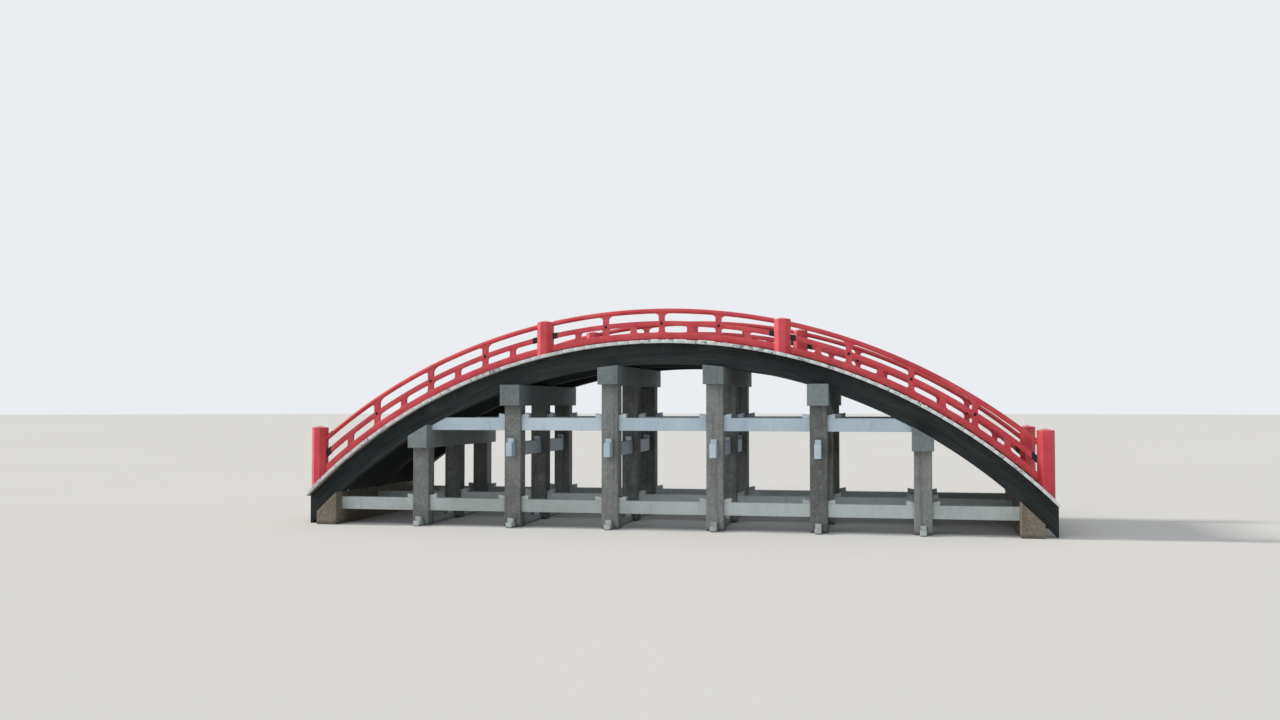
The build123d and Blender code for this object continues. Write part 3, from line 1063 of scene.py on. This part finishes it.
@dataclass(frozen=True)
class Finishes:
    """Every finish of the bridge, built once and shared by its pieces."""

    posts: Finish
    caps: Finish
    sills: Finish
    ties: Finish
    girders: Finish
    deck: Finish
    steps: Finish
    paint: Finish
    metal: Finish
    nails: Finish

    @classmethod
    def build(cls) -> "Finishes":
        """Mix all the finishes.

        Returns:
            The set of finishes.
        """
        recipes = {
            "posts": ("post_stone", Granite(
                "weathered_granite",
                light=rgb(144, 147, 145), dark=rgb(88, 90, 89), lichen=rgb(150, 153, 142),
            )),
            "caps": ("cap_stone", Granite(
                "dressed_granite",
                light=rgb(142, 151, 152), dark=rgb(106, 113, 115), lichen=rgb(112, 132, 126),
                runs_share=0.22, fleck_share=0.25, pit_depth=0.0018,
            )),
            "sills": ("sill_stone", Granite(
                "bank_stone",
                light=rgb(148, 138, 124), dark=rgb(92, 84, 74), lichen=rgb(116, 122, 96),
                runs_share=0.45,
            )),
            "ties": ("tie_stone", PaleStone(
                "pale_tie_stone", light=rgb(202, 217, 227), dark=rgb(174, 191, 203),
                stained_light=rgb(189, 198, 199), stained_dark=rgb(158, 166, 164),
            )),
            "girders": ("girder_timber", RawTimber(
                "tarred_girder_timber",
                light=rgb(60, 67, 66), dark=rgb(32, 37, 38), crack=rgb(15, 16, 17),
                crack_share=0.5, roughness=0.66, specular=0.16,
            )),
            "deck": ("deck_boards", RawTimber(
                "weathered_deck_boards",
                light=rgb(156, 146, 132), dark=rgb(96, 88, 78), crack=rgb(38, 34, 30),
                whitened_from=2.83,
            )),
            "steps": ("step_boards", RawTimber(
                "worn_step_boards",
                light=rgb(152, 138, 120), dark=rgb(92, 80, 68), crack=rgb(38, 32, 28),
            )),
            "paint": ("red_paint", PaintedTimber(
                "red_painted_timber",
                paint=rgb(188, 28, 48), faded_paint_and_top_light=rgb(212, 64, 74), grime=rgb(120, 18, 34),
            )),
            "metal": ("black_metal", BlackMetal(
                "black_lacquered_metal", lacquer=rgb(28, 26, 26), worn=rgb(80, 66, 52),
            )),
            "nails": ("black_metal", BlackMetal(
                "rusted_nail_iron", lacquer=rgb(62, 50, 44), worn=rgb(112, 76, 52),
            )),
        }
        return cls(**{part: Finish(slot, recipe.material()) for part, (slot, recipe) in recipes.items()})


def dress(piece: Piece, finish: Finish) -> None:
    """Give a piece a tone for each of its parts, its material and its body.

    Args:
        piece: to be dressed.
        finish: its material and slot.
    """
    write_tone(piece)
    piece.data.materials.clear()
    piece.data.materials.append(finish.material)
    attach(piece, ROOT)
    LOG.info("%s: %d points", piece.name, len(piece.data.vertices))


@dataclass(frozen=True)
class Nails:
    """Forged nails with low round heads, in rows over the girders."""

    finish: Finish
    radius: float = 0.011
    height: float = 0.005
    sunk: float = 0.004
    rings: int = 2
    around: int = 8
    scatter: float = 0.006
    seed: int = 5

    def drive(self, name: str, x: Array, z: Array, lean: Array) -> None:
        """Drive one nail over each girder at every place given.

        Args:
            name: of the piece.
            x: places along the bridge, array (places,).
            z: heights of the timber there, array (places,).
            lean: angle of each nail from the upright, towards +X, array (places,).
        """
        chance = np.random.default_rng(self.seed)
        boxes = [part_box(f"girder_{row}") for row in ROWS]
        middles = np.array([(low.y + high.y) / 2 for low, high in boxes])
        y = middles + chance.uniform(-self.scatter, self.scatter, (len(x), len(middles)))
        centres = grid_points(x[:, None], y, z[:, None]).reshape(-1, 3)
        outward = np.repeat(grid_points(np.sin(lean), 0.0, np.cos(lean)), len(middles), axis=0)
        heads = domes(
            centres, outward, (0.0, 1.0, 0.0), self.radius, self.height, self.sunk,
            rings=self.rings, around=self.around,
        )
        piece = put_in_mesh(name, heads, bar_faces(*heads.shape[:3]))
        smooth_by_angle(piece)
        dress(piece, self.finish)


@dataclass
class StoneBents:
    """Posts, caps, sills, ties and wedges: the stone frame that stands in the water.

    The caps named level keep their whole height under a level top, and the girders are let down over them.
    """

    finishes: Finishes
    bents: int = 6
    level_caps: tuple[int, ...] = (2, 5)
    post_easing: float = 0.012
    cap_easing: float = 0.014
    tie_easing: float = 0.010
    wedge_easing: float = 0.005

    def build(self) -> None:
        """Round the arrises of every stone and dress it."""
        for number in range(1, self.bents + 1):
            posts = eased_copy(f"pier_posts_{number}", f"granite_posts_{number}", self.post_easing)
            dress(posts, self.finishes.posts)
            reshape = level_top if number in self.level_caps else None
            cap = eased_copy(f"cap_beam_{number}", f"granite_cap_{number}", self.cap_easing, reshape)
            dress(cap, self.finishes.caps)
        for slope in Slope:
            sill = eased_copy(f"abutment_sill_{slope.value}", f"bank_sill_{slope.value}", self.cap_easing)
            dress(sill, self.finishes.sills)
        for level in ("lower", "upper"):
            for row in ROWS:
                ties = eased_copy(f"{level}_ties_{row}", f"{level}_tie_stones_{row}", self.tie_easing)
                dress(ties, self.finishes.ties)
            cross = eased_copy(f"{level}_cross_ties", f"{level}_cross_stones", self.tie_easing)
            dress(cross, self.finishes.ties)
        wedges = eased_copy("tie_wedges", "stone_wedges", self.wedge_easing)
        dress(wedges, self.finishes.ties)


@dataclass
class Girders:
    """The three bent timbers that carry the deck."""

    arch: Arch
    finishes: Finishes
    easing: float = 0.010

    def build(self) -> None:
        """Round the girders' arrises and let their fibres follow the arch."""
        for row in ROWS:
            girder = eased_copy(f"girder_{row}", f"girder_timber_{row}", self.easing)
            write_pattern(girder, Pattern.GRAIN, self.arch.unrolled(places_of(girder.data)))
            dress(girder, self.finishes.girders)


@dataclass
class Deck:
    """Boards laid side by side across the girders, from edge to edge."""

    arch: Arch
    finishes: Finishes
    board_width: float = 0.298
    gap: float = 0.005
    easing: float = 0.009
    end_scatter: float = 0.009
    top_scatter: float = 0.0025
    width_scatter: float = 0.05
    ripple: float = 0.0006
    spans: int = 14
    crease: float = 40.0
    seed: int = 21
    nailed_to: float = 2.20
    nail_share: float = 0.26
    nail_bite: float = 0.001

    def build(self) -> None:
        """Lay all the boards as one mesh and nail them down."""
        chance = np.random.default_rng(self.seed)
        angles, width = self.divided(chance)
        points, grain = self.laid(angles, width, chance)
        boards = put_in_mesh("deck_boards", points, bar_faces(*points.shape[:3]))
        grain[..., :2] += chance.uniform(0.0, FIBRE_SHIFT, (len(width), 1, 1, 1))
        write_pattern(boards, Pattern.GRAIN, grain.reshape(-1, 3))
        smooth_by_angle(boards, self.crease)
        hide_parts("deck_planking")
        dress(boards, self.finishes.deck)
        self.nail(angles, width)

    def divided(self, chance: Chance) -> tuple[Array, Array]:
        """Divide the length of the deck, along its curve, among boards of slightly uneven widths.

        Args:
            chance: source of the widths.

        Returns:
            Angle of each board's middle from the crown, and its width.
        """
        half_angle = asin(self.arch.half_length / self.arch.back)
        count = round(2 * half_angle * self.arch.back / self.board_width)
        shares = 1 + chance.uniform(-self.width_scatter, self.width_scatter, count)
        edges = np.concatenate([[0.0], np.cumsum(shares)]) / shares.sum()
        angles = (2 * edges - 1) * half_angle
        width = (angles[1:] - angles[:-1]) * self.arch.back - self.gap
        return (angles[:-1] + angles[1:]) / 2, width

    def laid(self, angles: Array, width: Array, chance: Chance) -> tuple[Array, Array]:
        """Carry each board's rounded section across the bridge.

        The section lies in the plane of the tangent and the radius at the board's own angle: centre +
        outwards * radius + u * tangent. The first and the last board are cut plumb where the deck ends.

        Args:
            angles: of the boards' middles, from the crown.
            width: of the boards.
            chance: source of their unevenness.

        Returns:
            Places and grain, two arrays (boards, stations, points round the section, 3).
        """
        count = len(width)
        low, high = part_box("deck_planking")
        thickness = self.arch.top - self.arch.back
        section_u, section_out = rounded_section(1.0, thickness, self.easing).T
        places, drawn = eased_ends(1.0, self.easing / (high.y - low.y), self.spans)
        shrink = 1 - drawn[None, :] * self.easing / width[:, None]
        u = section_u * (width[:, None] * shrink)[:, :, None]
        squeeze = (1 - drawn * 2 * self.easing / thickness)[None, :, None]
        rise = chance.uniform(-self.top_scatter, 0.0, count)[:, None, None]
        ripple = chance.normal(0.0, self.ripple, (count, len(places), 1))
        outwards = self.arch.back + thickness / 2 + section_out * squeeze
        outwards = outwards + np.where(section_out > 0, 1.0, 0.0) * (rise + ripple)
        near = low.y + chance.uniform(0.0, self.end_scatter, count)
        far = high.y - chance.uniform(0.0, self.end_scatter, count)
        y = near[:, None] + (places[None, :] + 0.5) * (far - near)[:, None]
        sine = np.sin(angles)[:, None, None]
        cosine = np.cos(angles)[:, None, None]
        x = np.clip(outwards * sine + u * cosine, low.x, high.x)
        z = self.arch.centre + outwards * cosine - u * sine
        return grid_points(x, y[:, :, None], z), grid_points(y[:, :, None], u, outwards)

    def nail(self, angles: Array, width: Array) -> None:
        """Nail down the boards of the crown that no tread covers, two nails over each girder.

        Args:
            angles: of the boards' middles, from the crown.
            width: of the boards.
        """
        bare = np.abs(self.arch.top * np.sin(angles)) < self.nailed_to
        shift = width[bare] * self.nail_share / self.arch.top
        at = np.concatenate([angles[bare] - shift, angles[bare] + shift])
        x = self.arch.top * np.sin(at)
        z = self.arch.height(self.arch.top, x) - self.nail_bite
        Nails(self.finishes.nails).drive("deck_nails", x, z, at)


@dataclass
class Steps:
    """Treads and risers on both slopes of the deck, each tread in two lengths.

    A riser goes down into the deck by its bite, and up into the tread by its lap.
    """

    arch: Arch
    finishes: Finishes
    count: int = 28
    end_inset: float = 0.170
    crown_share: float = 0.24
    nose: float = 0.025
    tread: float = 0.040
    easing: float = 0.006
    joint: float = 0.004
    joint_scatter: float = 0.45
    riser: float = 0.024
    riser_back: float = 0.014
    riser_inset: float = 0.010
    riser_bite: float = 0.004
    riser_lap: float = 0.002
    least_riser: float = 0.001
    nail_inset: float = 0.055
    stations: int = 9
    crease: float = 30.0
    seed: int = 8

    def build(self) -> None:
        """Build the treads and the risers of each slope."""
        for slope in Slope:
            self.build_slope(slope)

    def edges(self) -> Array:
        """Space the edges of the steps evenly along the curved deck.

        Returns:
            Their distances from the middle, from the end of the deck inwards.
        """
        low = asin((self.arch.half_length - self.end_inset) / self.arch.top)
        high = asin(self.crown_share * self.arch.half_length / self.arch.top)
        return self.arch.top * np.sin(np.linspace(low, high, self.count + 1))

    def build_slope(self, slope: Slope) -> None:
        """Lay one slope's treads, nail them down, and set a riser below each nose.

        Args:
            slope: which of the two.
        """
        chance = np.random.default_rng(self.seed + slope.direction)
        edges = self.edges()
        outer, inner = edges[:-1], edges[1:] + self.nose
        level = self.arch.height(self.arch.top, inner)
        self.lay_treads(slope, outer, inner, level, chance)
        nails_x = slope.direction * np.concatenate([outer - self.nail_inset, inner + self.nail_inset])
        nails_z = np.tile(level, 2)
        upright = np.zeros_like(nails_x)
        Nails(self.finishes.nails).drive(f"step_nails_{slope.value}", nails_x, nails_z, upright)
        self.set_risers(slope, outer, level - self.tread, chance)

    def lay_treads(self, slope: Slope, outer: Array, inner: Array, level: Array, chance: Chance) -> None:
        """Lay a slope's treads, each in two lengths that meet at a joint of its own.

        A tread's section is level on top, square at its nose and feathered where the deck meets it.

        Args:
            slope: which of the two.
            outer: distances of the noses from the middle.
            inner: distances of the feathered edges.
            level: heights of the tops.
            chance: source of the joints.
        """
        low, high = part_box(f"steps_{slope.value}")
        under = level - self.tread
        eased = outer - self.easing
        foot = np.minimum(self.arch.reach(self.arch.top, under), eased)
        x = np.stack([eased, outer, outer, eased, foot, inner], axis=1)
        z = np.stack([level, level - self.easing, under + self.easing, under, under, level], axis=1)
        scatter = self.joint_scatter
        split = chance.uniform(-scatter, scatter, self.count) * (high.y - low.y) / 2
        starts = np.stack([np.full(self.count, low.y), split + self.joint / 2], axis=1)
        ends = np.stack([split - self.joint / 2, np.full(self.count, high.y)], axis=1)
        points = self.carried(slope, x, z, starts, ends)
        self.finish_boards(f"step_treads_{slope.value}", points, chance, f"steps_{slope.value}")

    def set_risers(self, slope: Slope, outer: Array, under: Array, chance: Chance) -> None:
        """Set a slope's risers, from the underside of each tread down into the deck.

        Args:
            slope: which of the two.
            outer: distances of the noses from the middle.
            under: heights of the treads' undersides.
            chance: source of each board's place in the fibre pattern.
        """
        low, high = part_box(f"steps_{slope.value}")
        front = outer - self.riser_back
        back = front - self.riser
        deck_front = self.arch.height(self.arch.top, front) - self.riser_bite
        deck_back = self.arch.height(self.arch.top, back) - self.riser_bite
        top = np.maximum(under + self.riser_lap, np.maximum(deck_front, deck_back) + self.least_riser)
        x = np.stack([front, front, back, back], axis=1)
        z = np.stack([top, deck_front, np.minimum(deck_back, top), top], axis=1)
        starts = np.full((self.count, 1), low.y + self.riser_inset)
        ends = np.full((self.count, 1), high.y - self.riser_inset)
        points = self.carried(slope, x, z, starts, ends)
        self.finish_boards(f"step_risers_{slope.value}", points, chance)

    def carried(self, slope: Slope, x: Array, z: Array, starts: Array, ends: Array) -> Array:
        """Carry each section across the bridge.

        Args:
            slope: which of the two.
            x: distances from the middle, array (steps, points).
            z: heights, array (steps, points).
            starts: where each length begins, array (steps, lengths).
            ends: where each length ends, array (steps, lengths).

        Returns:
            Points, array (steps * lengths, stations, points round the section, 3).
        """
        shares = np.linspace(0.0, 1.0, self.stations)
        y = starts[:, :, None] + shares * (ends - starts)[:, :, None]
        points = grid_points(slope.direction * x[:, None, None, :], y[:, :, :, None], z[:, None, None, :])
        return points.reshape(-1, *points.shape[2:])

    def finish_boards(self, name: str, points: Array, chance: Chance, node: str | None = None) -> None:
        """Put boards in a mesh, give each its own fibres, and dress them.

        Args:
            name: of the piece.
            points: array (boards, stations, around, 3).
            chance: source of each board's place in the fibre pattern.
            node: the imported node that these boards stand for, if they do.
        """
        boards = put_in_mesh(name, points, bar_faces(*points.shape[:3]))
        grain = points[..., [1, 0, 2]] + chance.uniform(0.0, FIBRE_SHIFT, (len(points), 1, 1, 1))
        write_pattern(boards, Pattern.GRAIN, grain.reshape(-1, 3))
        smooth_by_angle(boards, self.crease)
        if node:
            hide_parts(node)
        dress(boards, self.finishes.steps)


@dataclass
class Railing:
    """One side's railing: posts, three rails, feet, struts, bearing blocks, sleeves and studs."""

    arch: Arch
    finishes: Finishes
    side: Side
    crown_post_x: float = 3.170
    end_post_x: float = 9.650
    post_width: float = 0.420
    strut_gap: float = 0.700
    struts: int = 7
    base_depth: float = 0.175
    mid_depth: float = 0.130
    easing: float = 0.012
    small_easing: float = 0.006
    post_easing: float = 0.010
    sleeve_easing: float = 0.002
    stations: int = 49
    round_points: int = 28
    crease: float = 40.0
    stud_radius: float = 0.040
    stud_height: float = 0.016
    stud_sunk: float = 0.004
    stud_wall: float = 0.004

    def of_side(self, stem: str) -> str:
        """A node's or a piece's name, from its stem and the side."""
        return f"{stem}_{self.side.value}"

    def spans(self) -> Array:
        """Where each stretch of rail starts and ends, between the faces of the main posts, array (3, 2)."""
        posts = np.array([-self.end_post_x, -self.crown_post_x, self.crown_post_x, self.end_post_x])
        return np.stack([posts[:-1] + self.post_width / 2, posts[1:] - self.post_width / 2], axis=1)

    def full_struts(self) -> Array:
        """Find the struts that go up to the handrail: every second one, from the second.

        Returns:
            Their places along the bridge.
        """
        starts, ends = self.spans().T
        places = np.linspace(starts + self.strut_gap, ends - self.strut_gap, self.struts)
        return places[1::2].T.ravel()

    def build(self) -> None:
        """Build and dress this side's railing."""
        for node, name, section in (
            ("handrail", "round_handrail", self.round_section()),
            ("base_rail", "deep_base_rail", self.flat_section("base_rail", self.base_depth)),
            ("mid_rail", "flat_mid_rail", self.flat_section("mid_rail", self.mid_depth)),
        ):
            self.build_rail(self.of_side(node), self.of_side(name), *section)
        for node, name, easing in (
            ("main_posts", "eight_sided_posts", self.post_easing),
            ("rail_feet", "base_rail_feet", self.small_easing),
            ("window_struts", "flared_struts", self.small_easing),
            ("bearing_blocks", "saddle_blocks", self.small_easing),
        ):
            piece = eased_copy(self.of_side(node), self.of_side(name), easing)
            places = places_of(piece.data)
            grain = self.arch.unrolled(places) if node == "rail_feet" else places[:, [2, 1, 0]]
            write_pattern(piece, Pattern.GRAIN, grain)
            dress(piece, self.finishes.paint)
        sleeves = eased_copy(self.of_side("rail_sleeves"), self.of_side("metal_sleeves"), self.sleeve_easing)
        dress(sleeves, self.finishes.metal)
        self.build_studs()

    def round_section(self) -> tuple[Array, Array]:
        """Circle of the handrail.

        Returns:
            Distances across the bridge, and from the arch's centre.
        """
        low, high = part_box(self.of_side("handrail"))
        radius = (high.y - low.y) / 2
        angles = np.arange(self.round_points) * 2 * np.pi / self.round_points
        middle = high.z - self.arch.centre - radius
        return (low.y + high.y) / 2 + radius * np.cos(angles), middle + radius * np.sin(angles)

    def flat_section(self, node: str, depth: float) -> tuple[Array, Array]:
        """Rounded outline of a flat rail.

        Args:
            node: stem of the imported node.
            depth: of the rail, out from the arch's centre.

        Returns:
            Distances across the bridge, and from the arch's centre.
        """
        low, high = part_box(self.of_side(node))
        section = rounded_section(high.y - low.y, depth, self.easing)
        return (low.y + high.y) / 2 + section[:, 0], self.outer_radius(node) - depth / 2 + section[:, 1]

    def outer_radius(self, node: str) -> float:
        """Radius of a flat rail's top: its highest point is at the crown."""
        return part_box(self.of_side(node))[1].z - self.arch.centre

    def build_rail(self, node: str, name: str, across: Array, out: Array) -> None:
        """Carry a section along the arch between the main posts, with plumb ends.

        The surface is (x, y(v), centre + sqrt(r(v)^2 - x^2)), so every line along it is an arc.

        Args:
            node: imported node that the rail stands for.
            name: of the new piece.
            across: distances across the bridge, round the outline.
            out: distances from the arch's centre, round the outline.
        """
        starts, ends = self.spans().T[:, :, None]
        x = (starts + np.linspace(0.0, 1.0, self.stations) * (ends - starts))[:, :, None]
        points = grid_points(x, across, self.arch.height(out, x))
        rail = put_in_mesh(name, points, bar_faces(*points.shape[:3]))
        write_pattern(rail, Pattern.GRAIN, self.arch.unrolled(points).reshape(-1, 3))
        smooth_by_angle(rail, self.crease)
        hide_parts(node)
        dress(rail, self.finishes.paint)

    def build_studs(self) -> None:
        """Set a low round stud on both faces of the mid rail at every full strut."""
        low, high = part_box(self.of_side("mid_rail"))
        x = self.full_struts()[:, None]
        z = self.arch.height(self.outer_radius("mid_rail") - self.mid_depth / 2, x)
        centres = grid_points(x, np.array([low.y, high.y]), z).reshape(-1, 3)
        outward = np.tile([[0.0, -1.0, 0.0], [0.0, 1.0, 0.0]], (len(x), 1))
        heads = domes(
            centres, outward, (1.0, 0.0, 0.0), self.stud_radius, self.stud_height, self.stud_sunk,
            wall=self.stud_wall,
        )
        studs = put_in_mesh(self.of_side("rail_studs"), heads, bar_faces(*heads.shape[:3]))
        smooth_by_angle(studs)
        dress(studs, self.finishes.metal)


@dataclass(frozen=True)
class Lamp:
    """One large soft light: its strength on a face square to it, the way its light travels, and its width."""

    name: str
    strength: float
    direction: Triple
    angle: float
    colour: Triple

    def hang(self) -> None:
        """Put the light in the scene; its angle is how wide it looks from the bridge, in degrees."""
        light = bpy.data.lights.new(self.name, "SUN")
        light.energy = self.strength
        light.angle = radians(self.angle)
        light.color = self.colour
        lamp = put_in_scene(self.name, light)
        lamp.rotation_euler = Vector(self.direction).to_track_quat("-Z", "Y").to_euler()


@dataclass
class Studio:
    """Floor, light and camera: a low key lamp on the left, and a broad fill on the camera's side."""

    lamps: tuple[Lamp, ...] = (
        Lamp("key", 3.2, (0.92, 0.03, -0.40), 7.0, (1.0, 0.94, 0.86)),
        Lamp("fill", 0.95, (0.34, 0.86, -0.38), 70.0, (0.94, 0.97, 1.0)),
    )
    world_colour: Colour = (0.94, 0.965, 1.0, 1.0)
    world_strength: float = 0.42
    backdrop_strength: float = 0.88
    floor_rings: tuple[float, ...] = (0.02, 12.0, 40.0, 120.0, 420.0)
    floor_around: int = 64
    floor_z: float = -0.003
    camera_place: Triple = (6.506, -36.279, 3.290)
    turn: float = 11.92
    tilt: float = 1.94
    level: float = 90.0
    focal_pixels: float = 1303.3
    sensor: float = 36.0
    sight: float = 2000.0

    def build(self) -> None:
        """Set up the whole studio."""
        self.build_floor()
        self.build_world()
        for lamp in self.lamps:
            lamp.hang()
        self.build_camera()

    def build_floor(self) -> None:
        """Lay a round pale floor just under the water line: rings of points about the middle."""
        radii = np.array(self.floor_rings)[:, None]
        ring = np.arange(self.floor_around)
        angles = ring * 2 * np.pi / self.floor_around
        points = grid_points(radii * np.cos(angles), radii * np.sin(angles), self.floor_z)
        here = ring + (np.arange(len(radii) - 1) * self.floor_around)[:, None]
        after = np.roll(here, -1, axis=1)
        quads = np.stack([here, here + self.floor_around, after + self.floor_around, after], axis=-1)
        floor = put_in_mesh("studio_floor", points, quads.reshape(-1, 4).tolist() + [ring.tolist()])
        floor.data.materials.append(PaleFloor().material())

    def build_world(self) -> None:
        """Light everything evenly from a pale world; what the camera or a gloss sees of it is paler still."""
        world = bpy.data.worlds.new("pale_world")
        world.use_nodes = True
        nodes = Nodes(world.node_tree)
        rays = nodes.add("ShaderNodeLightPath").outputs
        direct = nodes.sums("MAXIMUM", rays["Is Camera Ray"], rays["Is Glossy Ray"])
        seen = nodes.sums("MAXIMUM", direct, rays["Is Transmission Ray"])
        strength = nodes.add(
            "ShaderNodeMapRange", Value=seen, To_Min=self.world_strength, To_Max=self.backdrop_strength
        )
        ground = nodes.tree.nodes["Background"]
        nodes.feed(ground.inputs["Color"], self.world_colour)
        nodes.feed(ground.inputs["Strength"], strength.outputs["Result"])
        bpy.context.scene.world = world

    def build_camera(self) -> None:
        """Place the camera where the photograph was taken from: tilted up a little from a level view."""
        lens = bpy.data.cameras.new("camera")
        lens.sensor_width = self.sensor
        lens.lens = self.focal_pixels / PHOTO_WIDTH * self.sensor
        lens.clip_end = self.sight
        camera = put_in_scene("camera", lens)
        camera.location = self.camera_place
        camera.rotation_euler = (radians(self.level + self.tilt), 0.0, radians(self.turn))
        bpy.context.scene.camera = camera


def main() -> None:
    """Build the bridge's looks piece by piece, then the studio, and note the sizes."""
    logging.basicConfig(level=logging.INFO, format="%(name)s %(message)s")
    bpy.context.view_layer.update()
    arch = Arch.from_frame()
    finishes = Finishes.build()
    StoneBents(finishes).build()
    Girders(arch, finishes).build()
    Deck(arch, finishes).build()
    Steps(arch, finishes).build()
    for side in Side:
        Railing(arch, finishes, side).build()
    Studio().build()
    bpy.context.scene.view_settings.view_transform = "Standard"


if __name__ == "__main__":
    main()
